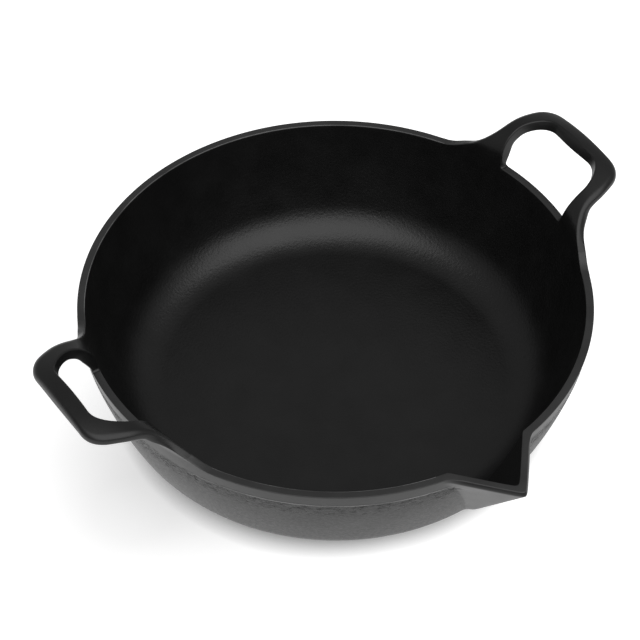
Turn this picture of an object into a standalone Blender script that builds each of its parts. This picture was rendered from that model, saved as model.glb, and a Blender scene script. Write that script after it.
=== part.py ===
"""Round cast iron pot with a pouring spout and two raised ear handles.

Metres, +Z up. The origin is on the bowl's axis, on the surface the pot stands on.
The handles point along +X and -X, and the spout points along -Y.

The pot body is one contour drawn round the axis and carried down the wall: at every depth
the wall's circle is joined to the two flat sides of the spout with a rounded corner.
Each handle is a plate that carries the wall on above the rim, bends outward over it and has
a finger opening. It is drawn flat first, as an arch, and then laid on the bent surface.
"""
import math

import bmesh
import bpy
from mathutils import Vector

# Bowl
RIM_RADIUS = 0.130
RIM_WIDTH = 0.004
POT_HEIGHT = 0.067
FLOOR_THICKNESS = 0.0045
WALL_LEAN = math.radians(10.0)
WALL_BULGE_RADIUS = 0.234
BASE_CORNER_RADIUS = 0.0286
FLOOR_CORNER_RADIUS = 0.026
GROUND_BAND_HEIGHT = 0.008
GROUND_BAND_STEP = 0.0004
RIM_CHAMFER = 0.0005

# Spout: two flat sides that meet in a keel below and in a trough inside.
# The reach is to the sharp corner of the sides, before the tip is rounded.
# The slope says how far the keel runs in towards the wall per metre of depth, and the lag
# how much less the trough does. Both run straight down to the foot, then curve in to the wall.
SPOUT_REACH = 0.0267
SPOUT_HALF_ANGLE = math.radians(40.3)
SPOUT_LIP_HEIGHT = 0.0024
SPOUT_TIP_RADIUS = 0.0012
SPOUT_ROOT_BLEND = 0.002
KEEL_SLOPE = 0.76
TROUGH_LAG = 0.065
SPOUT_FOOT_HEIGHT = 0.0205
SPOUT_FOOT_RADIUS = 0.012

# Handle plate: lengths are measured up its bent inner face, from the bowl's rim.
# Under each handle the rim rises to a seat, which is also the lower edge of the finger opening.
# The plate is as thick as the rim is wide where it stands on the seat. It flares to the leg's
# thickness, soon beside the opening and slowly along the tail at the other side of the leg.
# Its back is upright at the seat and follows the bend from the tilt height on, and at the grip
# it swells past the face, towards the opening and outward.
SEAT_RISE = 0.0017
PLATE_LENGTH = 0.0501
PLATE_STRAIGHT = 0.0074
PLATE_BEND_RADIUS = 0.0236
GRIP_WIDTH = 0.0083
GRIP_THICKNESS = 0.0066
GRIP_END_THICKNESS = 0.0049
GRIP_SWELL_IN = 0.0023
GRIP_SWELL_OUT = 0.0047
GRIP_END_SWELL_OUT = 0.0019
LEG_THICKNESS = 0.0063
LEG_FLARE_HEIGHT = 0.004
TAIL_FLARE_HEIGHT = 0.018
BACK_TILT_HEIGHT = 0.022
GRIP_HALF_LENGTH = 0.0361
GRIP_END_DROP = 0.0061
GRIP_CORNER_RADIUS = 0.0162
PLATE_NARROWING = 0.82

# Handle outline beside the opening: spans are measured round the rim from the handle's middle
FOOT_HALF_SPAN = 0.0575
LEG_ROOT_HALF_SPAN = 0.0364
LEG_ROOT_HEIGHT = 0.0122
LEG_ROOT_RADIUS = 0.0198
OPENING_HALF_WIDTH_AT_SEAT = 0.0243
OPENING_HALF_WIDTH_AT_GRIP = 0.0277
OPENING_CORNER_RADIUS = 0.0132
OPENING_SIDE_SLOPE = 0.0005
FACE_EDGE_RADIUS = 0.0008
GRIP_EDGE_RADIUS = 0.0032

# Pieces that touch keep this gap
SEAT_GAP = 0.0003

# Facets
WALL_STEPS = 8
CORNER_STEPS = 7
BOWL_STEPS = 72
SPOUT_SIDE_STEPS = 18
SPOUT_STEP_GROWTH = 1.4
SPOUT_STEPS_REACH = 1.4
LEG_STEPS = 26
GRIP_HALF_STEPS = 5
ACROSS_STEPS = 5
EDGE_STEPS = 3
FILLET_STEPS = 10
SHARP_EDGE = math.radians(32.0)
NUDGE = 0.00005

# Worked out from the sizes above
INNER_RIM_RADIUS = RIM_RADIUS - RIM_WIDTH
INNER_DEPTH = POT_HEIGHT - FLOOR_THICKNESS
SPOUT_APEX = RIM_RADIUS + SPOUT_REACH
TROUGH_APEX = SPOUT_APEX - RIM_WIDTH / math.sin(SPOUT_HALF_ANGLE)
TROUGH_SLOPE = KEEL_SLOPE - TROUGH_LAG
SPOUT_CORNER_TURN = math.asin(SPOUT_APEX * math.sin(SPOUT_HALF_ANGLE) / RIM_RADIUS) - SPOUT_HALF_ANGLE
SPOUT_SPREAD = SPOUT_CORNER_TURN * SPOUT_STEPS_REACH
OPENING_TOP = PLATE_LENGTH - GRIP_WIDTH
FOOT_HEIGHT = SEAT_RISE / math.cos(WALL_LEAN)
TAIL_RUN = (FOOT_HALF_SPAN - LEG_ROOT_HALF_SPAN) * FOOT_HEIGHT / LEG_ROOT_HEIGHT
SEAT_HALF_SPAN = FOOT_HALF_SPAN - TAIL_RUN


def iron(name, tone, roughness):
    """Black seasoned iron: the dark coat hides the bare metal."""
    material = bpy.data.materials.new(name)
    material.use_nodes = True
    shader = material.node_tree.nodes["Principled BSDF"]
    shader.inputs["Base Color"].default_value = (tone, tone, tone, 1.0)
    shader.inputs["Roughness"].default_value = roughness
    shader.inputs["Metallic"].default_value = 0.0
    return material


def skin(name, loops):
    """Mesh between neighbouring closed loops of points, with a flat cap on the two end loops."""
    bm = bmesh.new()
    rings = [[bm.verts.new(point) for point in loop] for loop in loops]
    for below, above in zip(rings, rings[1:]):
        for index in range(len(below)):
            following = (index + 1) % len(below)
            bm.faces.new((below[index], below[following], above[following], above[index]))
    bm.faces.new(rings[0])
    bm.faces.new(rings[-1])
    bmesh.ops.recalc_face_normals(bm, faces=bm.faces)
    mesh = bpy.data.meshes.new(name)
    bm.to_mesh(mesh)
    bm.free()
    mesh.shade_smooth()
    mesh.set_sharp_from_angle(angle=SHARP_EDGE)
    return mesh


def place(name, mesh, height, turn=0.0):
    """Put a mesh in the scene as a named object, turned about the pot's axis."""
    piece = bpy.data.objects.new(name, mesh)
    piece.location = (0.0, 0.0, height)
    piece.rotation_euler = (0.0, 0.0, turn)
    bpy.context.scene.collection.objects.link(piece)
    return piece


def bowl_wall(rim_radius, depth, bulge_radius, corner_radius):
    """Points (radius, depth below the rim) down a bulging wall and round its bottom corner."""
    centre_radius = rim_radius - bulge_radius * math.cos(WALL_LEAN)
    centre_depth = -bulge_radius * math.sin(WALL_LEAN)
    reach = bulge_radius - corner_radius
    corner_start = math.asin((depth - corner_radius - centre_depth) / reach)
    points = []
    for step in range(WALL_STEPS):
        angle = WALL_LEAN + (corner_start - WALL_LEAN) * step / WALL_STEPS
        points.append((centre_radius + bulge_radius * math.cos(angle),
                       centre_depth + bulge_radius * math.sin(angle)))
    for step in range(CORNER_STEPS + 1):
        angle = corner_start + (math.pi / 2 - corner_start) * step / CORNER_STEPS
        points.append((centre_radius + reach * math.cos(corner_start) + corner_radius * math.cos(angle),
                       depth - corner_radius + corner_radius * math.sin(angle)))
    return points


def radius_at(wall, depth):
    """Radius of a wall at one depth, between the points of bowl_wall."""
    for (radius_above, above), (radius_below, below) in zip(wall, wall[1:]):
        if depth <= below:
            return radius_above + (radius_below - radius_above) * (depth - above) / (below - above)
    return wall[-1][0]


def spout_side(turn, apex):
    """Distance from the axis to the spout's side, at an angle of turn away from the spout."""
    soft_turn = math.hypot(turn, SPOUT_TIP_RADIUS / (apex * math.tan(SPOUT_HALF_ANGLE)))
    return apex * math.sin(SPOUT_HALF_ANGLE) / math.sin(min(SPOUT_HALF_ANGLE + soft_turn, math.pi / 2))


def joined(wall, side):
    """The larger of the wall's and the spout's distance, with a rounded corner between them."""
    closeness = max(SPOUT_ROOT_BLEND - abs(wall - side), 0.0)
    return max(wall, side) + closeness ** 2 / (4 * SPOUT_ROOT_BLEND)


def foot_curve(height):
    """How far the spout has curved in towards the wall, at a height below its straight part."""
    return max(SPOUT_FOOT_HEIGHT - height, 0.0) ** 2 / (2 * SPOUT_FOOT_RADIUS)


def outside(turn, wall, depth):
    """Distance from the axis to the pot's outer face."""
    keel = SPOUT_APEX - KEEL_SLOPE * max(depth - SPOUT_LIP_HEIGHT, 0.0) - foot_curve(POT_HEIGHT - depth)
    return joined(wall, spout_side(turn, keel))


def inside(turn, wall, depth):
    """Distance from the axis to the pot's inner face."""
    trough = TROUGH_APEX - TROUGH_SLOPE * depth - foot_curve(INNER_DEPTH - depth)
    return joined(wall, spout_side(turn, trough))


def bowl_rows():
    """Rows (contour, wall radius, depth, inset) up the outside, over the rim, down the inside."""
    outer = bowl_wall(RIM_RADIUS, POT_HEIGHT, WALL_BULGE_RADIUS, BASE_CORNER_RADIUS)
    inner = bowl_wall(INNER_RIM_RADIUS, INNER_DEPTH, WALL_BULGE_RADIUS - RIM_WIDTH, FLOOR_CORNER_RADIUS)
    rough_top = GROUND_BAND_HEIGHT + GROUND_BAND_STEP
    rough = [(radius, depth) for radius, depth in outer if depth > rough_top]
    rows = [(outside, radius + GROUND_BAND_STEP, depth, 0.0) for radius, depth in reversed(rough)]
    rows.append((outside, radius_at(outer, rough_top) + GROUND_BAND_STEP, rough_top, 0.0))
    for depth in (GROUND_BAND_HEIGHT, SPOUT_LIP_HEIGHT, RIM_CHAMFER):
        rows.append((outside, radius_at(outer, depth), depth, 0.0))
    rows.append((outside, RIM_RADIUS, 0.0, RIM_CHAMFER))
    rows.append((inside, INNER_RIM_RADIUS, 0.0, -RIM_CHAMFER))
    rows.append((inside, radius_at(inner, RIM_CHAMFER), RIM_CHAMFER, 0.0))
    rows += [(inside, radius, depth, 0.0) for radius, depth in inner if depth > RIM_CHAMFER]
    return rows


def seat_rise(turn):
    """How far the rim has risen to a handle's seat, along the line of the handle's tail."""
    span = abs(abs(turn - math.pi) - math.pi / 2) * INNER_RIM_RADIUS
    return SEAT_RISE * min(max((FOOT_HALF_SPAN - span) / TAIL_RUN, 0.0), 1.0)


def seat_ends():
    """Angles where the rim starts to rise to a seat and where the seat is level."""
    turns = [span / INNER_RIM_RADIUS for span in (SEAT_HALF_SPAN, FOOT_HALF_SPAN)]
    return [math.pi + side * math.pi / 2 + way * turn for side in (-1, 1) for way in (-1, 1) for turn in turns]


def bowl_turns():
    """Angles round the pot from the spout, closer together along the spout's sides."""
    near = [SPOUT_SPREAD * (step / SPOUT_SIDE_STEPS) ** SPOUT_STEP_GROWTH
            for step in range(SPOUT_SIDE_STEPS + 1)]
    rest = 2 * (math.pi - SPOUT_SPREAD)
    far = [SPOUT_SPREAD + rest * step / BOWL_STEPS for step in range(1, BOWL_STEPS)]
    return sorted(near + far + seat_ends() + [2 * math.pi - turn for turn in near[1:]])


def make_pot_body():
    """Floor, wall, flat rim and spout: one closed casting."""
    loops = []
    for contour, wall, depth, inset in bowl_rows():
        loop = []
        for turn in bowl_turns():
            rise = seat_rise(turn) if depth <= RIM_CHAMFER else 0.0
            radius = contour(min(turn, 2 * math.pi - turn), wall, depth) - inset + rise * math.tan(WALL_LEAN)
            loop.append((radius * math.sin(turn), -radius * math.cos(turn), rise - depth))
        loops.append(loop)
    mesh = skin("pot_body", loops)
    mesh.materials.append(iron("body_iron", 0.006, 0.45))
    return place("pot_body", mesh, POT_HEIGHT)


def filleted(corners, radii):
    """Flat polyline through the corners, with an arc of its own radius at each inner corner."""
    path = [Vector(corners[0])]
    for before, corner, after, radius in zip(corners, corners[1:], corners[2:], radii):
        corner = Vector(corner)
        back = (Vector(before) - corner).normalized()
        ahead = (Vector(after) - corner).normalized()
        half = back.angle(ahead) / 2
        centre = corner + (back + ahead).normalized() * radius / math.sin(half)
        start = corner + back * radius / math.tan(half) - centre
        end = corner + ahead * radius / math.tan(half) - centre
        path += [centre + start.slerp(end, step / FILLET_STEPS) * radius for step in range(FILLET_STEPS + 1)]
    path.append(Vector(corners[-1]))
    return path


def spaced(path, steps):
    """Points at even distances along a polyline."""
    lengths = [(after - before).length for before, after in zip(path, path[1:])]
    points = []
    for step in range(steps + 1):
        left = sum(lengths) * step / steps
        index = 0
        while index < len(lengths) - 1 and left > lengths[index]:
            left -= lengths[index]
            index += 1
        points.append(path[index].lerp(path[index + 1], left / lengths[index]))
    return points


def arch(corners, radii):
    """Even points along half an outline: up the leg and round its corner, then along the grip."""
    path = filleted(corners, radii)
    return spaced(path[:-1], LEG_STEPS) + spaced(path[-2:], GRIP_HALF_STEPS)[1:]


def outer_arch():
    """Half of the plate's outer outline as (span round the rim, height up the plate)."""
    corners = [(SEAT_HALF_SPAN, FOOT_HEIGHT),
               (LEG_ROOT_HALF_SPAN, LEG_ROOT_HEIGHT),
               (GRIP_HALF_LENGTH / PLATE_NARROWING, PLATE_LENGTH),
               (0.0, PLATE_LENGTH)]
    return arch(corners, [LEG_ROOT_RADIUS, GRIP_CORNER_RADIUS])


def inner_arch():
    """Half of the finger opening's outline, in the same way."""
    corners = [(OPENING_HALF_WIDTH_AT_SEAT, FOOT_HEIGHT),
               (OPENING_HALF_WIDTH_AT_GRIP / PLATE_NARROWING, OPENING_TOP),
               (0.0, OPENING_TOP)]
    return arch(corners, [OPENING_CORNER_RADIUS])


def both_halves(half):
    """A half outline and its mirror image, from one foot to the other."""
    return half + [Vector((-point.x, point.y)) for point in reversed(half[:-1])]


def eased(share):
    """A share held between 0 and 1, with a smooth start and end."""
    share = min(max(share, 0.0), 1.0)
    return share * share * (3 - 2 * share)


def straightness(height):
    """0 at the seat, where the plate is round like the rim, and 1 at the straight grip."""
    return eased((height - FOOT_HEIGHT) / (OPENING_TOP - FOOT_HEIGHT))


def plate_face(span, height):
    """Point on the plate's inner face, seen from the rim's plane on the pot's axis."""
    angle = WALL_LEAN + max(height - PLATE_STRAIGHT, 0.0) / PLATE_BEND_RADIUS
    start = min(height, PLATE_STRAIGHT)
    out = start * math.sin(WALL_LEAN) + PLATE_BEND_RADIUS * (math.cos(WALL_LEAN) - math.cos(angle))
    rise = start * math.cos(WALL_LEAN) + PLATE_BEND_RADIUS * (math.sin(angle) - math.sin(WALL_LEAN))
    radius = INNER_RIM_RADIUS + out
    turn = span / INNER_RIM_RADIUS
    straight = straightness(height)
    narrowed = span * PLATE_NARROWING
    round_place = Vector((radius * math.cos(turn), radius * math.sin(turn), rise))
    straight_place = Vector((radius, narrowed, rise - GRIP_END_DROP * (narrowed / GRIP_HALF_LENGTH) ** 2))
    return round_place.lerp(straight_place, straight)


def towards_back(span, height):
    """Direction from the plate's inner face to its back: level at the seat, square to it above."""
    along = plate_face(span + NUDGE, height) - plate_face(span - NUDGE, height)
    upward = plate_face(span, height + NUDGE) - plate_face(span, height - NUDGE)
    square = along.cross(upward).normalized()
    level = Vector((1.0, 0.0, 0.0))
    return level.lerp(square, min(max((height - FOOT_HEIGHT) / BACK_TILT_HEIGHT, 0.0), 1.0)).normalized()


def grip_share(span, height):
    """0 on the legs and at the grip's ends, and 1 at the grip's middle."""
    from_middle = span * PLATE_NARROWING / GRIP_HALF_LENGTH
    return straightness(height) * max(1 - from_middle ** 2, 0.0) ** 2


def plate_thickness(span, height, share):
    """As thick as the rim at the foot, then as the leg, the grip's end and the grip's middle."""
    flare_height = LEG_FLARE_HEIGHT + (TAIL_FLARE_HEIGHT - LEG_FLARE_HEIGHT) * share
    leg = RIM_WIDTH + (LEG_THICKNESS - RIM_WIDTH) * eased((height - FOOT_HEIGHT) / flare_height)
    to_end = (GRIP_END_THICKNESS - LEG_THICKNESS) * straightness(height)
    return leg + to_end + (GRIP_THICKNESS - GRIP_END_THICKNESS) * grip_share(span, height)


def rounded_side(front_radius, back_radius):
    """Points down a side of the plate, round its front edge and then round its back edge.

    Each is (distance in from the side, depth from the face or the back, True where it is from the face).
    """
    angles = [math.pi / 2 * step / EDGE_STEPS for step in range(EDGE_STEPS + 1)]
    front = [(front_radius * (1 - math.sin(angle)), front_radius * (1 - math.cos(angle)), True)
             for angle in angles]
    back = [(back_radius * (1 - math.sin(angle)), back_radius * (1 - math.cos(angle)), False)
            for angle in reversed(angles)]
    return front + back


def between(start, end):
    """Points across the plate's face or back, from one side's rounding to the other's."""
    return [(start[0] + (end[0] - start[0]) * step / ACROSS_STEPS, 0.0, start[2])
            for step in range(1, ACROSS_STEPS)]


def plate_section(inner, outer):
    """Closed loop of points round the plate, between a point of each outline.

    A share runs from 0 at the finger opening to 1 at the plate's outer side.
    """
    width = (plate_face(*outer) - plate_face(*inner)).length
    straight = straightness((inner.y + outer.y) / 2)
    outer_back_radius = FACE_EDGE_RADIUS + (GRIP_EDGE_RADIUS - FACE_EDGE_RADIUS) * straight
    opening_side = [(distance / width, depth, on_face)
                    for distance, depth, on_face in rounded_side(FACE_EDGE_RADIUS, FACE_EDGE_RADIUS)]
    outer_side = [(1 - distance / width, depth, on_face)
                  for distance, depth, on_face in rounded_side(FACE_EDGE_RADIUS, outer_back_radius)]
    loop_shares = outer_side + between(outer_side[-1], opening_side[-1])
    loop_shares += list(reversed(opening_side)) + between(opening_side[0], outer_side[0])
    at_grip = grip_share(*inner)
    opening_slope = (OPENING_SIDE_SLOPE + GRIP_SWELL_IN * at_grip) / width
    outer_swell = GRIP_END_SWELL_OUT * straight + (GRIP_SWELL_OUT - GRIP_END_SWELL_OUT) * at_grip
    outer_slope = outer_swell / width
    loop = []
    for share, depth, on_face in loop_shares:
        thickness = plate_thickness(*inner.lerp(outer, share), share)
        depth = depth if on_face else thickness - depth
        sloped = share + (share * (opening_slope + outer_slope) - opening_slope) * depth / thickness
        place_on_plate = inner.lerp(outer, sloped)
        loop.append(plate_face(*place_on_plate) + towards_back(*place_on_plate) * depth)
    return loop


def make_handles():
    """Two alike handles, whose flat feet stand on the rim's seats on opposite sides of the pot."""
    outlines = zip(both_halves(inner_arch()), both_halves(outer_arch()))
    mesh = skin("handle", [plate_section(inner, outer) for inner, outer in outlines])
    mesh.materials.append(iron("handle_iron", 0.006, 0.42))
    place("handle_right", mesh, POT_HEIGHT + SEAT_GAP)
    place("handle_left", mesh, POT_HEIGHT + SEAT_GAP, math.pi)


def main():
    for old in list(bpy.data.objects):
        bpy.data.objects.remove(old, do_unlink=True)
    make_pot_body()
    make_handles()


main()
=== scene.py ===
"""Looks of the cast iron pot: the casting's fine surface, its seasoned iron and a pale studio.

Metres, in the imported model's frame: the origin is on the bowl's axis where the pot stands,
the handles point along +X and -X, and the spout points along -Y.
The fine castings follow the same sizes as the construction, with more points, round edges,
root fillets where the handles grow out of the rim, and the unevenness of a sand casting.
"""
import math

import bpy
from mathutils import Matrix, Vector, noise


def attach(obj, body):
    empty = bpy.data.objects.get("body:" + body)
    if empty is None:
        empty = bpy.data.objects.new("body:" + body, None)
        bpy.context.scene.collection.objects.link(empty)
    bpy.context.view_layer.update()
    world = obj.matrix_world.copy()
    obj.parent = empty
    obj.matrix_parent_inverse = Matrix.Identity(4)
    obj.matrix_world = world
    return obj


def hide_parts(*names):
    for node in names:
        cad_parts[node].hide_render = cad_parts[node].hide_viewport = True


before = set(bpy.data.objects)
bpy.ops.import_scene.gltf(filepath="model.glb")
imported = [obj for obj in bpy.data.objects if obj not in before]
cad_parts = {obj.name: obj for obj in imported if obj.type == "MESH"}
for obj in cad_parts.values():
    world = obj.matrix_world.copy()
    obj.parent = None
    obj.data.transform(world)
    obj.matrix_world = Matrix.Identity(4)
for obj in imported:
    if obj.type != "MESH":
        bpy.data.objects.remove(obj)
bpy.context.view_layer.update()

# Bowl
RIM_RADIUS = 0.130
POT_HEIGHT = 0.067
RIM_WIDTH = 0.004
FLOOR_THICKNESS = 0.0045
WALL_LEAN = math.radians(10.0)
WALL_BULGE_RADIUS = 0.234
BASE_CORNER_RADIUS = 0.0286
FLOOR_CORNER_RADIUS = 0.026
GROUND_BAND_HEIGHT = 0.008
GROUND_BAND_STEP = 0.0004
GROUND_BAND_FALL = 0.0005
RIM_ROUNDING = 0.0004

# Spout
SPOUT_REACH = 0.0267
SPOUT_HALF_ANGLE = math.radians(40.3)
SPOUT_LIP_HEIGHT = 0.0024
SPOUT_LIP_SOFTNESS = 0.0003
SPOUT_TIP_RADIUS = 0.0012
SPOUT_ROOT_BLEND = 0.002
TROUGH_ROOT_BLEND = 0.0005
LIP_BEVEL = 0.0012
LIP_BEVEL_HEIGHT = 0.0017
SPOUT_MARGIN = 0.006
KEEL_SLOPE = 0.76
TROUGH_LAG = 0.065
SPOUT_FOOT_HEIGHT = 0.0205
SPOUT_FOOT_RADIUS = 0.012

# Handle plate
SEAT_RISE = 0.0017
SEAT_GAP = 0.0003
PLATE_LENGTH = 0.0501
PLATE_STRAIGHT = 0.0074
PLATE_BEND_RADIUS = 0.0236
GRIP_WIDTH = 0.0083
GRIP_THICKNESS = 0.0066
GRIP_END_THICKNESS = 0.0049
GRIP_SWELL_IN = 0.0023
GRIP_SWELL_OUT = 0.0047
GRIP_END_SWELL_OUT = 0.0019
LEG_THICKNESS = 0.0063
LEG_FLARE_HEIGHT = 0.010
TAIL_FLARE_HEIGHT = 0.018
BACK_TILT_HEIGHT = 0.022
GRIP_HALF_LENGTH = 0.0361
GRIP_END_DROP = 0.0061
GRIP_CORNER_RADIUS = 0.0162
PLATE_NARROWING = 0.82
FOOT_HALF_SPAN = 0.0575
LEG_ROOT_HALF_SPAN = 0.0364
LEG_ROOT_HEIGHT = 0.0122
LEG_ROOT_RADIUS = 0.0198
TAIL_FOOT_RADIUS = 0.020
TAIL_FOOT_RUN = 0.006
TAIL_FOOT_SINK = 0.0002
TAIL_BACK_SHARE = 0.8
OPENING_HALF_WIDTH_AT_SEAT = 0.0243
OPENING_HALF_WIDTH_AT_GRIP = 0.0277
OPENING_CORNER_RADIUS = 0.0132
OPENING_SIDE_SLOPE = 0.0005
FACE_EDGE_RADIUS = 0.0008
GRIP_EDGE_RADIUS = 0.0032
CREST_ACROSS = 0.0032
CREST_DEPTH_SHARE = 0.75
CREST_RAMP_HEIGHT = 0.009
CREST_SHARE_AT_GRIP = 0.4

# How the handle grows out of the rim: its foot goes on down inside the wall, and the rim's
# rise to the seat lies hidden inside the handle's tail
FOOT_SINK = 0.0015
ROOT_TURN_HEIGHT = 0.006
SEAT_RISE_SPAN = 0.004
SEAT_RISE_COVER = 0.002
FOOT_PROUD = 0.00002
OPENING_ROOT_RADIUS = 0.0016
OPENING_ROOT_REACH = 0.0014

# Fineness
OUTSIDE_SPACING = 0.0009
INSIDE_SPACING = 0.0019
BAND_SPACING = 0.0006
FLAT_STEPS = 14
FLAT_CENTRE_SHARE = 0.04
BOWL_STEPS = 400
SPOUT_SIDE_STEPS = 60
SPOUT_STEP_GROWTH = 1.25
SPOUT_STEPS_REACH = 1.4
ROUNDING_STEPS = 5
LEG_STEPS = 96
GRIP_HALF_STEPS = 22
ACROSS_STEPS = 18
EDGE_STEPS = 9
FILLET_STEPS = 40
PROFILE_STEPS = 240
NUDGE = 0.00005
SHARP_EDGE = math.radians(50.0)

# Unevenness of the casting as (wavelength, depth), and the pits below the ground band
CAST_SWELLS = ((0.017, 0.00014), (0.004, 0.00005))
PIT_ZONE_HEIGHT = 0.011
PIT_WAVELENGTH = 0.0028
PIT_FLATNESS = 2.0
PIT_DEPTH = 0.0006

# Material slots, and how far the painted sheen on the tails' low ends and the rim's painted
# highlight line reach
SMOOTH, AS_CAST, PAINTED_SHEEN, EDGE_HIGHLIGHT, SATIN, LEDGE_HIGHLIGHT = range(6)
PAINTED_SHEEN_TAIL_HEIGHT = 0.004
HIGHLIGHT_LINE_DEPTH = 0.00004
HIGHLIGHT_LINE_START = math.radians(90.0)

# Coats: the tones and the roughnesses between which each varies, and the height of its speckle
SMOOTH_TONES = (0.0026, 0.0044)
SMOOTH_ROUGHNESS = (0.32, 0.38)
# A lighter tone that paints a sheen on the rim's top and the tails' low ends
PAINTED_SHEEN_TONES = (0.020, 0.028)
PAINTED_SHEEN_ROUGHNESS = (0.36, 0.44)
# Brighter tones that paint a highlight along a thin line of the rim's inner edge
EDGE_HIGHLIGHT_TONES = (0.05, 0.22)
# Brighter tones that paint a highlight on the rounded step at the ground band's lower edge
LEDGE_HIGHLIGHT_TONES = (0.14, 0.28)
CAST_TONES = (0.010, 0.022)
CAST_ROUGHNESS = (0.38, 0.50)
BOWL_SPECKLE_HEIGHT = 0.00022
SATIN_SPECKLE_HEIGHT = 0.00006

# Noises as (scale, detail, roughness), and the parts of their range that the coats use
CLOUD_NOISE = (55.0, 4.0, 0.55)
CAST_CLOUD_NOISE = (55.0, 5.0, 0.55)
SPECKLE_NOISE = (700.0, 3.0, 0.55)
GRAIN_NOISE = (1600.0, 3.0, 0.55)
LUMP_NOISE = (650.0, 4.0, 0.6)
PIT_NOISE = (1 / PIT_WAVELENGTH, 3.0, 0.55)
TONE_SPREAD = (0.35, 0.65)
ROUGHNESS_SPREAD = (0.3, 0.7)
PIT_SPREAD = (0.52, 0.64)
FULL_RANGE = (0.0, 1.0)
REVERSED_RANGE = (1.0, 0.0)

# Bumps as (height, strength), and the fine grain's share of a coat's speckle height
LUMP_BUMP = (0.00025, 0.5)
PIT_BUMP = (0.0011, 1.0)
CAST_GRAIN_BUMP = (0.0001, 0.5)
SPECKLE_STRENGTH = 0.7
GRAIN_STRENGTH = 0.6
GRAIN_SHARE = 0.25

# Studio floor: a glow lifts it to white, less so within reach of a place by the left handle, which
# paints a shadow there
FLOOR_RADIUS = 9.0
FLOOR_SIDES = 96
FLOOR_TONE = 0.74
PAINTED_SHADOW_CENTRE = (-0.13, -0.01, 0.0)
PAINTED_SHADOW_REACH = (0.02, 0.13)
GLOW_LEVELS = (0.46, 0.86)
# Reach of the ambient occlusion that dims the glow at the pot's foot, a painted contact shadow
PAINTED_CONTACT_SHADOW_REACH = 0.011

# Light
WORLD_STRENGTH = 0.31
KEY_TURN = math.radians(19.0)
KEY_ELEVATION = math.radians(62.0)
KEY_DISTANCE = 2.2
KEY_WIDTH = 3.8
KEY_DEPTH = 2.5
KEY_POWER = 45.0

# Camera, found from the photograph's rim, handles and spout; its distances are in rim radii
VIEW_ELEVATION = math.radians(47.33)
VIEW_TURN = math.radians(-34.87)
VIEW_DISTANCE = 9.295
VIEW_SIDE = -0.060
VIEW_RAISE = -0.095
FOCAL_LENGTH_PIXELS = 2399.0
PICTURE_PIXELS = 640.0
SENSOR_WIDTH = 36.0

# Worked out from the sizes above
INNER_RIM_RADIUS = RIM_RADIUS - RIM_WIDTH
INNER_DEPTH = POT_HEIGHT - FLOOR_THICKNESS
SPOUT_APEX = RIM_RADIUS + SPOUT_REACH
TROUGH_APEX = SPOUT_APEX - RIM_WIDTH / math.sin(SPOUT_HALF_ANGLE)
TROUGH_SLOPE = KEEL_SLOPE - TROUGH_LAG
SPOUT_CORNER_SINE = SPOUT_APEX * math.sin(SPOUT_HALF_ANGLE) / RIM_RADIUS
SPOUT_CORNER_TURN = math.asin(SPOUT_CORNER_SINE) - SPOUT_HALF_ANGLE
SPOUT_SPREAD = SPOUT_CORNER_TURN * SPOUT_STEPS_REACH
OPENING_TOP = PLATE_LENGTH - GRIP_WIDTH
FOOT_HEIGHT = SEAT_RISE / math.cos(WALL_LEAN)
TAIL_RUN = (FOOT_HALF_SPAN - LEG_ROOT_HALF_SPAN) * FOOT_HEIGHT / LEG_ROOT_HEIGHT
SEAT_HALF_SPAN = FOOT_HALF_SPAN - TAIL_RUN - SEAT_RISE_COVER


def eased(share):
    """A share held between 0 and 1, with a smooth start and end."""
    share = min(max(share, 0.0), 1.0)
    return share * share * (3 - 2 * share)


def wall_profile(rim_radius, depth, bulge_radius, corner_radius):
    """Points (radius, depth below the rim) down a bulging wall and round its bottom corner."""
    centre_radius = rim_radius - bulge_radius * math.cos(WALL_LEAN)
    centre_depth = -bulge_radius * math.sin(WALL_LEAN)
    reach = bulge_radius - corner_radius
    corner_start = math.asin((depth - corner_radius - centre_depth) / reach)
    corner_centre = centre_radius + reach * math.cos(corner_start)
    points = []
    for step in range(PROFILE_STEPS):
        angle = WALL_LEAN + (corner_start - WALL_LEAN) * step / PROFILE_STEPS
        points.append((centre_radius + bulge_radius * math.cos(angle),
                       centre_depth + bulge_radius * math.sin(angle)))
    for step in range(PROFILE_STEPS + 1):
        angle = corner_start + (math.pi / 2 - corner_start) * step / PROFILE_STEPS
        points.append((corner_centre + corner_radius * math.cos(angle),
                       depth - corner_radius + corner_radius * math.sin(angle)))
    return points


def radius_at(profile, depth):
    """Radius of a wall at one depth."""
    for (radius_above, above), (radius_below, below) in zip(profile, profile[1:]):
        if depth <= below:
            return radius_above + (radius_below - radius_above) * (depth - above) / (below - above)
    return profile[-1][0]


def stretch(profile, first_depth, last_depth, spacing):
    """Points at even distances along the part of a profile between two depths, both included."""
    path = [(radius_at(profile, first_depth), first_depth)]
    path += [point for point in profile if first_depth < point[1] < last_depth]
    path.append((radius_at(profile, last_depth), last_depth))
    lengths = [math.dist(before, after) for before, after in zip(path, path[1:])]
    steps = max(round(sum(lengths) / spacing), 1)
    points = []
    index = 0
    passed = 0.0
    for step in range(steps + 1):
        target = sum(lengths) * step / steps
        while index < len(lengths) - 1 and target > passed + lengths[index]:
            passed += lengths[index]
            index += 1
        share = min((target - passed) / lengths[index], 1.0)
        points.append(tuple(a + (b - a) * share for a, b in zip(path[index], path[index + 1])))
    return points


def spout_side(turn, apex):
    """Distance from the axis to the spout's side, at an angle of turn away from the spout."""
    soft_turn = math.hypot(turn, SPOUT_TIP_RADIUS / (apex * math.tan(SPOUT_HALF_ANGLE)))
    crossing = min(SPOUT_HALF_ANGLE + soft_turn, math.pi / 2)
    return apex * math.sin(SPOUT_HALF_ANGLE) / math.sin(crossing)


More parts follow.
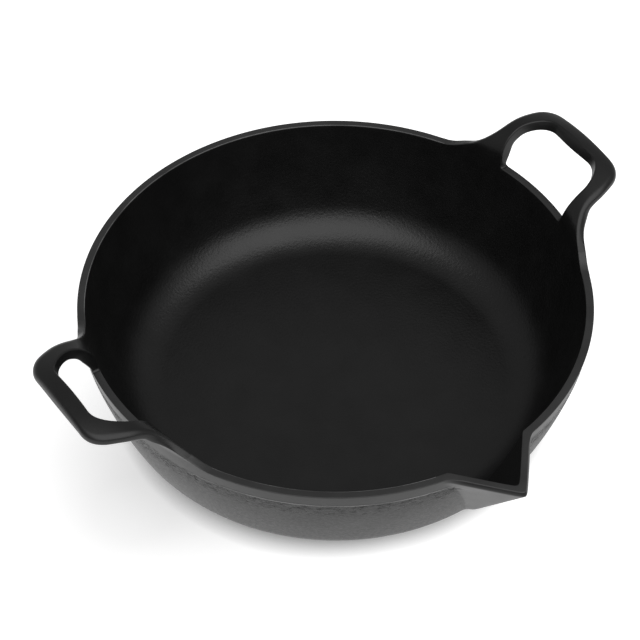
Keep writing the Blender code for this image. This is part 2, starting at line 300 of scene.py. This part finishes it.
def joined(wall, side, blend):
    """The larger of the wall's and the spout's distance, with a rounded corner between them."""
    closeness = max(blend - abs(wall - side), 0.0)
    return max(wall, side) + closeness ** 2 / (4 * blend)


def foot_curve(height):
    """How far the spout has curved in towards the wall, at a height below its straight part."""
    return max(SPOUT_FOOT_HEIGHT - height, 0.0) ** 2 / (2 * SPOUT_FOOT_RADIUS)


def outer_side(turn, depth):
    """Distance from the axis to the spout's outer side."""
    past_lip = depth - SPOUT_LIP_HEIGHT
    fallen = (past_lip + math.hypot(past_lip, SPOUT_LIP_SOFTNESS)) / 2
    return spout_side(turn, SPOUT_APEX - KEEL_SLOPE * fallen - foot_curve(POT_HEIGHT - depth))


def spout_share(turn, wall, depth):
    """0 on the bowl and 1 on the spout, at a distance of the wall from the axis."""
    return eased((outer_side(turn, depth) - wall) / SPOUT_MARGIN)


def outside(turn, wall, depth):
    """Distance from the axis to the pot's outer face, where the spout's lip leans in at the top."""
    bevel = LIP_BEVEL * spout_share(turn, wall, depth) * max(1 - depth / LIP_BEVEL_HEIGHT, 0.0)
    return joined(wall, outer_side(turn, depth), SPOUT_ROOT_BLEND) - bevel


def inside(turn, wall, depth):
    """Distance from the axis to the pot's inner face."""
    trough = TROUGH_APEX - TROUGH_SLOPE * depth - foot_curve(INNER_DEPTH - depth)
    return joined(wall, spout_side(turn, trough), TROUGH_ROOT_BLEND)


def from_spout(turn):
    """How far an angle round the pot is from the spout, the shorter way."""
    return min(turn, 2 * math.pi - turn)


def bowl_rows():
    """Rows from the base's middle out, up, over the rim and down to the floor's middle.

    Each is (contour, wall radius, depth, inset, rough). The inset moves the row in from the
    contour, and rough is how much of the cast skin shows there.
    """
    outer = wall_profile(RIM_RADIUS, POT_HEIGHT, WALL_BULGE_RADIUS, BASE_CORNER_RADIUS)
    inner = wall_profile(INNER_RIM_RADIUS, INNER_DEPTH, WALL_BULGE_RADIUS - RIM_WIDTH,
                         FLOOR_CORNER_RADIUS)
    shares = [FLAT_CENTRE_SHARE + (1 - FLAT_CENTRE_SHARE) * step / FLAT_STEPS
              for step in range(FLAT_STEPS)]
    skin_radius = outer[-1][0] + GROUND_BAND_STEP
    rows = [(outside, skin_radius * share, POT_HEIGHT, 0.0, 1.0) for share in shares]
    skin_top = GROUND_BAND_HEIGHT + GROUND_BAND_FALL
    skin = stretch(outer, skin_top, POT_HEIGHT, OUTSIDE_SPACING)
    rows += [(outside, radius + GROUND_BAND_STEP, depth, 0.0, 1.0)
             for radius, depth in reversed(skin)]
    for step in range(ROUNDING_STEPS - 1, 0, -1):
        share = step / ROUNDING_STEPS
        depth = GROUND_BAND_HEIGHT + GROUND_BAND_FALL * share
        radius = radius_at(outer, depth) + GROUND_BAND_STEP * eased(share)
        rows.append((outside, radius, depth, 0.0, share))
    band = stretch(outer, RIM_ROUNDING, GROUND_BAND_HEIGHT, BAND_SPACING)
    rows += [(outside, radius, depth, 0.0, 0.0) for radius, depth in reversed(band)]
    angles = [math.pi / 2 * step / ROUNDING_STEPS for step in range(1, ROUNDING_STEPS + 1)]
    over_rim = [(outside, outer, 1, angle) for angle in angles]
    over_rim += [(inside, inner, -1, angle) for angle in reversed(angles)]
    for contour, profile, inward, angle in over_rim:
        depth = RIM_ROUNDING * (1 - math.sin(angle))
        inset = inward * RIM_ROUNDING * (1 - math.cos(angle))
        rows.append((contour, radius_at(profile, depth), depth, inset, 0.0))
    wall = stretch(inner, RIM_ROUNDING, INNER_DEPTH, INSIDE_SPACING)
    rows += [(inside, radius, depth, 0.0, 0.0) for radius, depth in wall]
    rows += [(inside, wall[-1][0] * share, INNER_DEPTH, 0.0, 0.0) for share in reversed(shares)]
    return rows


def seat_rise(turn):
    """How far the rim has risen to a handle's seat."""
    span = abs(abs(turn - math.pi) - math.pi / 2) * INNER_RIM_RADIUS
    return SEAT_RISE * eased((SEAT_HALF_SPAN - span) / SEAT_RISE_SPAN)


def bowl_turns():
    """Angles round the pot from the spout, closer together along the spout's sides."""
    near = [SPOUT_SPREAD * (step / SPOUT_SIDE_STEPS) ** SPOUT_STEP_GROWTH
            for step in range(SPOUT_SIDE_STEPS + 1)]
    rest = 2 * (math.pi - SPOUT_SPREAD)
    far = [SPOUT_SPREAD + rest * step / BOWL_STEPS for step in range(1, BOWL_STEPS)]
    return near + far + [2 * math.pi - turn for turn in reversed(near[1:])]


def swell(place):
    """Depth of the casting's unevenness at a place."""
    return sum(depth * (1 + noise.noise(place / wavelength)) / 2
               for wavelength, depth in CAST_SWELLS)


def pitting(place):
    """Depth of the small flat pits that the mould left below the ground band."""
    share = 1 - (POT_HEIGHT - GROUND_BAND_HEIGHT - place.z) / PIT_ZONE_HEIGHT
    flattened = Vector((place.x, place.y, place.z * PIT_FLATNESS))
    return PIT_DEPTH * eased(share) * max(noise.noise(flattened / PIT_WAVELENGTH), 0.0)


def grid_mesh(name, loops, materials, slot_at):
    """Closed mesh through neighbouring loops of points, with a cap on its two end loops.

    slot_at(row, index) is the material of the face that starts at a loop's point.
    """
    count = len(loops[0])
    points = [point for loop in loops for point in loop]
    faces = []
    slots = []
    for row in range(len(loops) - 1):
        start = row * count
        beyond = start + count
        for index in range(count):
            following = (index + 1) % count
            faces.append((start + index, start + following, beyond + following, beyond + index))
            slots.append(slot_at(row, index))
    faces.append(tuple(reversed(range(count))))
    faces.append(tuple(range(len(points) - count, len(points))))
    slots += [slot_at(0, 0), slot_at(len(loops) - 1, 0)]
    mesh = bpy.data.meshes.new(name)
    mesh.from_pydata(points, [], faces)
    for material in materials:
        mesh.materials.append(material)
    mesh.polygons.foreach_set("material_index", slots)
    mesh.shade_smooth()
    mesh.set_sharp_from_angle(angle=SHARP_EDGE)
    mesh.update()
    piece = bpy.data.objects.new(name, mesh)
    bpy.context.scene.collection.objects.link(piece)
    return piece


def bowl_finish(row, turn):
    """Material slot at one place of the bowl."""
    contour, wall, depth, _, rough = row
    on_spout = spout_share(from_spout(turn), wall, depth) > 0
    # The rim's top gets a lighter tone that paints a sheen
    if depth < RIM_ROUNDING:
        # A thin line along most of the rim's inner edge gets a brighter tone that paints a
        # highlight
        on_highlight_line = contour is inside and not on_spout and depth < HIGHLIGHT_LINE_DEPTH
        return EDGE_HIGHLIGHT if on_highlight_line and turn > HIGHLIGHT_LINE_START and seat_rise(turn) == 0 else PAINTED_SHEEN
    if contour is inside:
        return SMOOTH
    if rough == 0 or on_spout:
        return SATIN
    # The rounded step at the ground band's lower edge gets a brighter tone that paints a highlight
    return LEDGE_HIGHLIGHT if rough < 1 else AS_CAST


def make_pot_casting(materials):
    """Floor, wall, rim and spout in one piece, rough as cast below the ground band."""
    rows = bowl_rows()
    turns = bowl_turns()
    loops = []
    for contour, wall, depth, inset, rough in rows:
        flat = depth >= (POT_HEIGHT if contour is outside else INNER_DEPTH)
        loop = []
        for turn in turns:
            spout_turn = from_spout(turn)
            rise = seat_rise(turn) if depth <= RIM_ROUNDING else 0.0
            radius = wall
            if not flat:
                radius = contour(spout_turn, wall, depth) - inset + rise * math.tan(WALL_LEAN)
            outward = Vector((math.sin(turn), -math.cos(turn), 0.0))
            place = outward * radius + Vector((0.0, 0.0, POT_HEIGHT - depth + rise))
            if contour is outside and not flat:
                unevenness = swell(place) + pitting(place)
                place -= outward * (unevenness * rough * (1 - spout_share(spout_turn, wall, depth)))
            loop.append(place)
        loops.append(loop)

    def finish(row, index):
        """Material slot of the face that starts at a point."""
        return bowl_finish(rows[row], turns[index])

    return grid_mesh("pot_casting", loops, materials, finish)


def filleted(corners, radii):
    """Flat polyline through the corners, with an arc of its own radius at each inner corner."""
    path = [Vector(corners[0])]
    for before, corner, after, radius in zip(corners, corners[1:], corners[2:], radii):
        corner = Vector(corner)
        back = (Vector(before) - corner).normalized()
        ahead = (Vector(after) - corner).normalized()
        half = back.angle(ahead) / 2
        centre = corner + (back + ahead).normalized() * radius / math.sin(half)
        start = corner + back * radius / math.tan(half) - centre
        end = corner + ahead * radius / math.tan(half) - centre
        path += [centre + start.slerp(end, step / FILLET_STEPS) * radius
                 for step in range(FILLET_STEPS + 1)]
    path.append(Vector(corners[-1]))
    return path


def spaced(path, steps):
    """Points at even distances along a polyline."""
    lengths = [(after - before).length for before, after in zip(path, path[1:])]
    points = []
    for step in range(steps + 1):
        left = sum(lengths) * step / steps
        index = 0
        while index < len(lengths) - 1 and left > lengths[index]:
            left -= lengths[index]
            index += 1
        points.append(path[index].lerp(path[index + 1], left / lengths[index]))
    return points


def arch(foot, corners, radii):
    """Half an outline: the foot inside the wall, then up the leg and round, then along the grip."""
    path = filleted(corners, radii)
    return foot + spaced(path[:-1], LEG_STEPS) + spaced(path[-2:], GRIP_HALF_STEPS)[1:]


def outer_arch():
    """Half of the plate's outer outline as (span round the rim, height up the plate)."""
    tail_end = FOOT_HALF_SPAN + TAIL_FOOT_RUN
    corners = [(tail_end, -TAIL_FOOT_SINK),
               (FOOT_HALF_SPAN, -TAIL_FOOT_SINK),
               (LEG_ROOT_HALF_SPAN, LEG_ROOT_HEIGHT),
               (GRIP_HALF_LENGTH / PLATE_NARROWING, PLATE_LENGTH),
               (0.0, PLATE_LENGTH)]
    foot = [Vector((tail_end, -FOOT_SINK))]
    return arch(foot, corners, [TAIL_FOOT_RADIUS, LEG_ROOT_RADIUS, GRIP_CORNER_RADIUS])


def inner_arch():
    """Half of the finger opening's outline, with the fillet where its side meets the rim."""
    root = OPENING_HALF_WIDTH_AT_SEAT - OPENING_ROOT_REACH
    corners = [(root, FOOT_HEIGHT),
               (OPENING_HALF_WIDTH_AT_SEAT, FOOT_HEIGHT),
               (OPENING_HALF_WIDTH_AT_GRIP / PLATE_NARROWING, OPENING_TOP),
               (0.0, OPENING_TOP)]
    foot = [Vector((root, -FOOT_SINK))]
    return arch(foot, corners, [OPENING_ROOT_RADIUS, OPENING_CORNER_RADIUS])


def both_halves(half):
    """A half outline and its mirror image, from one foot to the other."""
    return half + [Vector((-point.x, point.y)) for point in reversed(half[:-1])]


def straightness(height):
    """0 at the seat, where the plate is round like the rim, and 1 at the straight grip."""
    return eased((height - FOOT_HEIGHT) / (OPENING_TOP - FOOT_HEIGHT))


def plate_face(span, height):
    """Point on the plate's inner face, seen from the rim's plane on the pot's axis."""
    angle = WALL_LEAN + max(height - PLATE_STRAIGHT, 0.0) / PLATE_BEND_RADIUS
    start = min(height, PLATE_STRAIGHT)
    out = start * math.sin(WALL_LEAN) + PLATE_BEND_RADIUS * (math.cos(WALL_LEAN) - math.cos(angle))
    rise = start * math.cos(WALL_LEAN) + PLATE_BEND_RADIUS * (math.sin(angle) - math.sin(WALL_LEAN))
    radius = INNER_RIM_RADIUS - FOOT_PROUD + out
    turn = span / INNER_RIM_RADIUS
    straight = straightness(height)
    rise += SEAT_GAP * straight
    narrowed = span * PLATE_NARROWING
    drop = GRIP_END_DROP * (narrowed / GRIP_HALF_LENGTH) ** 2
    round_place = Vector((radius * math.cos(turn), radius * math.sin(turn), rise))
    straight_place = Vector((radius, narrowed, rise - drop))
    return round_place.lerp(straight_place, straight)


def towards_back(span, height):
    """Direction from the plate's inner face to its back: level at the seat, square to it above."""
    along = plate_face(span + NUDGE, height) - plate_face(span - NUDGE, height)
    upward = plate_face(span, height + NUDGE) - plate_face(span, height - NUDGE)
    square = along.cross(upward).normalized()
    turn = span / INNER_RIM_RADIUS * (1 - eased((height - FOOT_HEIGHT) / ROOT_TURN_HEIGHT))
    level = Vector((math.cos(turn), math.sin(turn), 0.0))
    tilt = min(max((height - FOOT_HEIGHT) / BACK_TILT_HEIGHT, 0.0), 1.0)
    return level.lerp(square, tilt).normalized()


def grip_share(span, height):
    """0 on the legs and at the grip's ends, and 1 at the grip's middle."""
    from_middle = span * PLATE_NARROWING / GRIP_HALF_LENGTH
    return straightness(height) * max(1 - from_middle ** 2, 0.0) ** 2


def plate_thickness(span, height, share):
    """As thick as the rim at the foot, then as the leg, the grip's end and the grip's middle.

    The share is 0 at the finger opening and 1 at the outer side, which thickens more slowly.
    """
    flare_height = LEG_FLARE_HEIGHT + (TAIL_FLARE_HEIGHT - LEG_FLARE_HEIGHT) * share
    flare = (LEG_THICKNESS - RIM_WIDTH) * eased((height - FOOT_HEIGHT) / flare_height)
    leg = RIM_WIDTH + 2 * FOOT_PROUD + flare
    to_end = (GRIP_END_THICKNESS - LEG_THICKNESS) * straightness(height)
    return leg + to_end + (GRIP_THICKNESS - GRIP_END_THICKNESS) * grip_share(span, height)


def crest_rounding(inner, outer, back_radius):
    """How far the plate's outer front edge is rounded: across the face, and down the side."""
    share = eased((outer.y - FOOT_HEIGHT) / CREST_RAMP_HEIGHT)
    share *= 1 - (1 - CREST_SHARE_AT_GRIP) * grip_share(*inner)
    depth = CREST_DEPTH_SHARE * (plate_thickness(*outer, 1.0) - back_radius)
    return (FACE_EDGE_RADIUS + (CREST_ACROSS - FACE_EDGE_RADIUS) * share,
            FACE_EDGE_RADIUS + (depth - FACE_EDGE_RADIUS) * share)


def rounded_side(front_across, front_depth, back_radius):
    """Points down a side of the plate, round its front edge and then round its back edge.

    Each is (distance in from the side, depth from the face or the back, on the face), where the
    last is True if the depth is from the face.
    """
    angles = [math.pi / 2 * step / EDGE_STEPS for step in range(EDGE_STEPS + 1)]
    front = [(front_across * (1 - math.sin(angle)), front_depth * (1 - math.cos(angle)), True)
             for angle in angles]
    back = [(back_radius * (1 - math.sin(angle)), back_radius * (1 - math.cos(angle)), False)
            for angle in reversed(angles)]
    return front + back


def between(start, end):
    """Points across the plate's face or back, from one side's rounding to the other's."""
    return [(start[0] + (end[0] - start[0]) * step / ACROSS_STEPS, 0.0, start[2])
            for step in range(1, ACROSS_STEPS)]


def plate_section(inner, outer):
    """Closed loop of points round the plate, between a point of each outline.

    A share runs from 0 at the finger opening to 1 at the plate's outer side.
    """
    width = (plate_face(*outer) - plate_face(*inner)).length
    straight = straightness((inner.y + outer.y) / 2)
    on_tail = TAIL_BACK_SHARE * eased((outer.y - FOOT_HEIGHT) / CREST_RAMP_HEIGHT)
    softness = max(straight, on_tail)
    outer_back_radius = FACE_EDGE_RADIUS + (GRIP_EDGE_RADIUS - FACE_EDGE_RADIUS) * softness
    small_edges = rounded_side(FACE_EDGE_RADIUS, FACE_EDGE_RADIUS, FACE_EDGE_RADIUS)
    crest = crest_rounding(inner, outer, outer_back_radius)
    crest_edges = rounded_side(*crest, outer_back_radius)
    at_opening = [(distance / width, depth, on_face)
                  for distance, depth, on_face in small_edges]
    at_outside = [(1 - distance / width, depth, on_face)
                  for distance, depth, on_face in crest_edges]
    ring = at_outside + between(at_outside[-1], at_opening[-1])
    ring += list(reversed(at_opening)) + between(at_opening[0], at_outside[0])
    at_grip = grip_share(*inner)
    opening_slope = (OPENING_SIDE_SLOPE + GRIP_SWELL_IN * at_grip) / width
    outer_swell = GRIP_END_SWELL_OUT * straight + (GRIP_SWELL_OUT - GRIP_END_SWELL_OUT) * at_grip
    outer_slope = outer_swell / width
    loop = []
    for share, depth, on_face in ring:
        thickness = plate_thickness(*inner.lerp(outer, share), share)
        depth = depth if on_face else thickness - depth
        sloped = share + (share * (opening_slope + outer_slope) - opening_slope) * depth / thickness
        place_on_plate = inner.lerp(outer, sloped)
        loop.append(plate_face(*place_on_plate) + towards_back(*place_on_plate) * depth)
    return loop


def make_handle_casting(name, sign, materials):
    """One handle: a fine plate with round edges, whose feet run on into the wall."""
    outlines = list(zip(both_halves(inner_arch()), both_halves(outer_arch())))
    to_rim = Vector((0.0, 0.0, POT_HEIGHT))
    loops = []
    for inner, outer in outlines:
        loop = [place + to_rim for place in plate_section(inner, outer)]
        loops.append([Vector((place.x * sign, place.y * sign, place.z)) for place in loop])

    def finish(row, index):
        """A lighter tone that paints a sheen on the outer side of a tail's low end, and satin
        elsewhere.
        """
        outer = outlines[row][1]
        on_outer_side = index < 2 * (EDGE_STEPS + 1)
        return PAINTED_SHEEN if on_outer_side and outer.y < PAINTED_SHEEN_TAIL_HEIGHT else SATIN

    return grid_mesh(name, loops, materials, finish)


def new_material(name):
    """A new Principled material, its node tree and its shader."""
    material = bpy.data.materials.new(name)
    material.use_nodes = True
    tree = material.node_tree
    return material, tree, tree.nodes["Principled BSDF"]


def grey(tone):
    """A neutral colour."""
    return (tone, tone, tone, 1.0)


def noise_node(tree, place, settings):
    """3-D noise with about one blotch per 1/scale metres."""
    node = tree.nodes.new("ShaderNodeTexNoise")
    for label, value in zip(("Scale", "Detail", "Roughness"), settings):
        node.inputs[label].default_value = value
    tree.links.new(place, node.inputs["Vector"])
    return node.outputs["Fac"]


def mapped(tree, value, source, target):
    """A value moved from one range to another."""
    node = tree.nodes.new("ShaderNodeMapRange")
    for label, end in zip(("From Min", "From Max", "To Min", "To Max"), source + target):
        node.inputs[label].default_value = end
    tree.links.new(value, node.inputs["Value"])
    return node.outputs["Result"]


def toned(tree, share, tones):
    """A grey between two tones."""
    node = tree.nodes.new("ShaderNodeMix")
    node.data_type = "RGBA"
    for label, tone in zip(("A", "B"), tones):
        node.inputs[label].default_value = grey(tone)
    tree.links.new(share, node.inputs["Factor"])
    return node.outputs["Result"]


def product(tree, first, second):
    """Two values multiplied."""
    node = tree.nodes.new("ShaderNodeMath")
    node.operation = "MULTIPLY"
    tree.links.new(first, node.inputs[0])
    tree.links.new(second, node.inputs[1])
    return node.outputs[0]


def bumped(tree, height, size, below=None):
    """A bumped normal, over the normal of the layer below it."""
    node = tree.nodes.new("ShaderNodeBump")
    for label, value in zip(("Distance", "Strength"), size):
        node.inputs[label].default_value = value
    tree.links.new(height, node.inputs["Height"])
    if below is not None:
        tree.links.new(below, node.inputs["Normal"])
    return node.outputs["Normal"]


def set_colour(tree, shader, tone_noise, tones, roughness_noise, roughness):
    """A coat's grey and its roughness, each varied between two ends by a noise."""
    share = mapped(tree, tone_noise, TONE_SPREAD, FULL_RANGE)
    tree.links.new(toned(tree, share, tones), shader.inputs["Base Color"])
    varied = mapped(tree, roughness_noise, ROUGHNESS_SPREAD, roughness)
    tree.links.new(varied, shader.inputs["Roughness"])


def iron_coat(name, tones, roughness, speckle_height):
    """Iron that is ground or rubbed smooth, under a thin satin coat with speckle and fine grain;
    with lighter tones it also paints sheen and highlights.
    """
    material, tree, shader = new_material(name)
    place = tree.nodes.new("ShaderNodeTexCoord").outputs["Object"]
    clouds = noise_node(tree, place, CLOUD_NOISE)
    set_colour(tree, shader, clouds, tones, clouds, roughness)
    speckle_size = (speckle_height, SPECKLE_STRENGTH)
    grain_size = (speckle_height * GRAIN_SHARE, GRAIN_STRENGTH)
    speckled = bumped(tree, noise_node(tree, place, SPECKLE_NOISE), speckle_size)
    grained = bumped(tree, noise_node(tree, place, GRAIN_NOISE), grain_size, speckled)
    tree.links.new(grained, shader.inputs["Normal"])
    return material


def cast_iron_skin():
    """The same coat over the rough and pitted skin that the sand mould leaves."""
    material, tree, shader = new_material("seasoned_iron_as_cast")
    place = tree.nodes.new("ShaderNodeTexCoord").outputs["Object"]
    clouds = noise_node(tree, place, CAST_CLOUD_NOISE)
    lumps = noise_node(tree, place, LUMP_NOISE)
    set_colour(tree, shader, clouds, CAST_TONES, lumps, CAST_ROUGHNESS)
    flattened = tree.nodes.new("ShaderNodeVectorMath")
    flattened.operation = "MULTIPLY"
    flattened.inputs[1].default_value = (1.0, 1.0, PIT_FLATNESS)
    tree.links.new(place, flattened.inputs[0])
    pits = noise_node(tree, flattened.outputs["Vector"], PIT_NOISE)
    height = tree.nodes.new("ShaderNodeSeparateXYZ")
    tree.links.new(place, height.inputs[0])
    skin_top = POT_HEIGHT - GROUND_BAND_HEIGHT
    zone = mapped(tree, height.outputs["Z"], (skin_top - PIT_ZONE_HEIGHT, skin_top), FULL_RANGE)
    pitted = product(tree, mapped(tree, pits, PIT_SPREAD, FULL_RANGE), zone)
    surface = mapped(tree, pitted, FULL_RANGE, REVERSED_RANGE)
    lumpy = bumped(tree, lumps, LUMP_BUMP)
    dented = bumped(tree, surface, PIT_BUMP, lumpy)
    grained = bumped(tree, noise_node(tree, place, GRAIN_NOISE), CAST_GRAIN_BUMP, dented)
    tree.links.new(grained, shader.inputs["Normal"])
    return material


def make_floor():
    """A wide pale floor that takes the pot's shadow, and is plain white in reflections.

    A glow that only the camera sees lifts it to white. It is weaker close to the pot's foot and
    near the left handle, where the photograph has its shadows.
    """
    bpy.ops.mesh.primitive_circle_add(vertices=FLOOR_SIDES, radius=FLOOR_RADIUS, fill_type="NGON")
    floor = bpy.context.object
    floor.name = "studio_floor"
    material, tree, shader = new_material("studio_floor_white")
    shader.inputs["Base Color"].default_value = grey(FLOOR_TONE)
    shader.inputs["Roughness"].default_value = 1.0
    shader.inputs["Specular IOR Level"].default_value = 0.0
    ray = tree.nodes.new("ShaderNodeLightPath")
    # Ambient occlusion dims the glow close to the pot's foot: a painted contact shadow
    openness = tree.nodes.new("ShaderNodeAmbientOcclusion")
    openness.inputs["Distance"].default_value = PAINTED_CONTACT_SHADOW_REACH
    # A weaker glow near a place by the left handle paints a shadow there
    away = tree.nodes.new("ShaderNodeVectorMath")
    away.operation = "DISTANCE"
    away.inputs[1].default_value = PAINTED_SHADOW_CENTRE
    tree.links.new(tree.nodes.new("ShaderNodeTexCoord").outputs["Object"], away.inputs[0])
    level = mapped(tree, away.outputs["Value"], PAINTED_SHADOW_REACH, GLOW_LEVELS)
    lit = product(tree, openness.outputs["AO"], level)
    glow = tree.nodes.new("ShaderNodeEmission")
    tree.links.new(product(tree, ray.outputs["Is Camera Ray"], lit), glow.inputs["Strength"])
    seen = tree.nodes.new("ShaderNodeAddShader")
    tree.links.new(shader.outputs[0], seen.inputs[0])
    tree.links.new(glow.outputs[0], seen.inputs[1])
    white = tree.nodes.new("ShaderNodeEmission")
    white.inputs["Strength"].default_value = 1.0
    mix = tree.nodes.new("ShaderNodeMixShader")
    tree.links.new(ray.outputs["Is Glossy Ray"], mix.inputs["Fac"])
    tree.links.new(seen.outputs[0], mix.inputs[1])
    tree.links.new(white.outputs[0], mix.inputs[2])
    tree.links.new(mix.outputs[0], tree.nodes["Material Output"].inputs["Surface"])
    floor.data.materials.append(material)


def make_key_light():
    """A wide soft lamp that faces the pot, above the camera and to its right."""
    lamp = bpy.data.lights.new("key_light", "AREA")
    lamp.shape = "RECTANGLE"
    lamp.size = KEY_WIDTH
    lamp.size_y = KEY_DEPTH
    lamp.energy = KEY_POWER
    light = bpy.data.objects.new("key_light", lamp)
    turn = VIEW_TURN + KEY_TURN
    away = Vector((math.sin(turn) * math.cos(KEY_ELEVATION),
                   -math.cos(turn) * math.cos(KEY_ELEVATION),
                   math.sin(KEY_ELEVATION)))
    light.location = away * KEY_DISTANCE
    light.rotation_mode = "QUATERNION"
    light.rotation_quaternion = away.to_track_quat("Z", "Y")
    bpy.context.scene.collection.objects.link(light)


def make_world():
    """An even soft surround, which the camera sees as white."""
    world = bpy.data.worlds.new("studio")
    world.use_nodes = True
    tree = world.node_tree
    background = tree.nodes["Background"]
    background.inputs["Color"].default_value = grey(1.0)
    ray = tree.nodes.new("ShaderNodeLightPath")
    level = mapped(tree, ray.outputs["Is Camera Ray"], FULL_RANGE, (WORLD_STRENGTH, 1.0))
    tree.links.new(level, background.inputs["Strength"])
    bpy.context.scene.world = world


def make_camera():
    """The photograph's view: between the left handle and the spout, down into the bowl."""
    back = Vector((0.0, -math.cos(VIEW_ELEVATION), math.sin(VIEW_ELEVATION)))
    up = Vector((0.0, math.sin(VIEW_ELEVATION), math.cos(VIEW_ELEVATION)))
    right = Vector((1.0, 0.0, 0.0))
    turn = Matrix.Rotation(VIEW_TURN, 4, "Z")
    eye = (back * VIEW_DISTANCE + right * VIEW_SIDE + up * VIEW_RAISE) * RIM_RADIUS
    placed = turn @ Matrix((right, up, back)).transposed().to_4x4()
    placed.translation = turn @ eye + Vector((0.0, 0.0, POT_HEIGHT))
    data = bpy.data.cameras.new("camera")
    data.sensor_width = SENSOR_WIDTH
    data.lens = FOCAL_LENGTH_PIXELS / PICTURE_PIXELS * SENSOR_WIDTH
    camera = bpy.data.objects.new("camera", data)
    camera.matrix_world = placed
    bpy.context.scene.collection.objects.link(camera)
    bpy.context.scene.camera = camera


def main():
    """Make the three castings and the studio."""
    smooth = iron_coat("seasoned_iron_smooth", SMOOTH_TONES, SMOOTH_ROUGHNESS, BOWL_SPECKLE_HEIGHT)
    # A lighter coat that paints a sheen on the rim and the tails' low ends
    painted_sheen = iron_coat("seasoned_iron_painted_sheen", PAINTED_SHEEN_TONES, PAINTED_SHEEN_ROUGHNESS, SATIN_SPECKLE_HEIGHT)
    # A brighter coat that paints a highlight along the rim's inner edge
    edge = iron_coat("seasoned_iron_edge_painted_highlight", EDGE_HIGHLIGHT_TONES, PAINTED_SHEEN_ROUGHNESS, SATIN_SPECKLE_HEIGHT)
    satin = iron_coat("seasoned_iron_satin", SMOOTH_TONES, SMOOTH_ROUGHNESS, SATIN_SPECKLE_HEIGHT)
    # A brighter coat that paints a highlight on the step at the ground band's lower edge
    ledge_painted_highlight = iron_coat("seasoned_iron_ledge_painted_highlight", LEDGE_HIGHLIGHT_TONES, PAINTED_SHEEN_ROUGHNESS, SATIN_SPECKLE_HEIGHT)
    finishes = [smooth, cast_iron_skin(), painted_sheen, edge, satin, ledge_painted_highlight]
    pot = make_pot_casting(finishes)
    right = make_handle_casting("handle_right_casting", 1.0, finishes)
    left = make_handle_casting("handle_left_casting", -1.0, finishes)
    for piece, node, slot in ((pot, "pot_body", "body_iron"),
                              (right, "handle_right", "handle_iron"),
                              (left, "handle_left", "handle_iron")):
        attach(piece, "root")
        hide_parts(node)
    make_floor()
    make_world()
    make_key_light()
    make_camera()
    bpy.context.scene.view_settings.view_transform = "Standard"


main()
